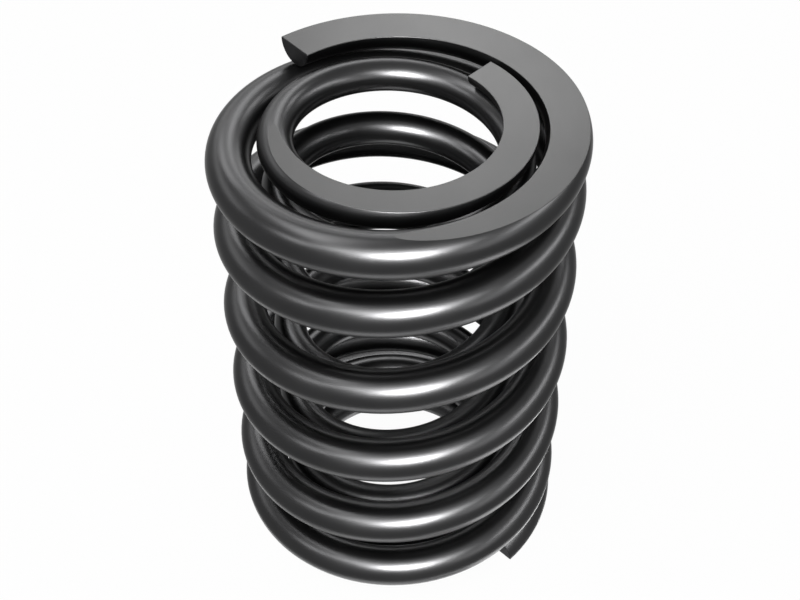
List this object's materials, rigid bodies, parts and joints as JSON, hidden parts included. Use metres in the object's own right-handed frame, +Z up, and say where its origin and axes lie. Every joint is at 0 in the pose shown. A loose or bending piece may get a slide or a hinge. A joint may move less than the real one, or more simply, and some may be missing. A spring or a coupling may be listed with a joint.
{
  "type": "coupling spring",
  "caption": "Nested round-wire compression spring pair, right-hand wound, with closed and ground flat ends; it pushes between two seats and cushions a coupling.",
  "frame": {"origin": "on the common axis of both springs, in the plane of their lower ground ends", "axes": "+Z up the springs' axis; the outer wire's upper tip lies 130.2 degrees round +Z from +X, and +Y points away from the picture's viewer"},
  "size_m": [0.067, 0.067, 0.0972],
  "materials": {
    "spring_wire": "dark oil-tempered spring steel with a smooth gloss; ground ends satin grey"
  },
  "bodies": {
    "root": {"outer_spring": "spring_wire", "inner_spring": "spring_wire"}
  },
  "joints": []
}
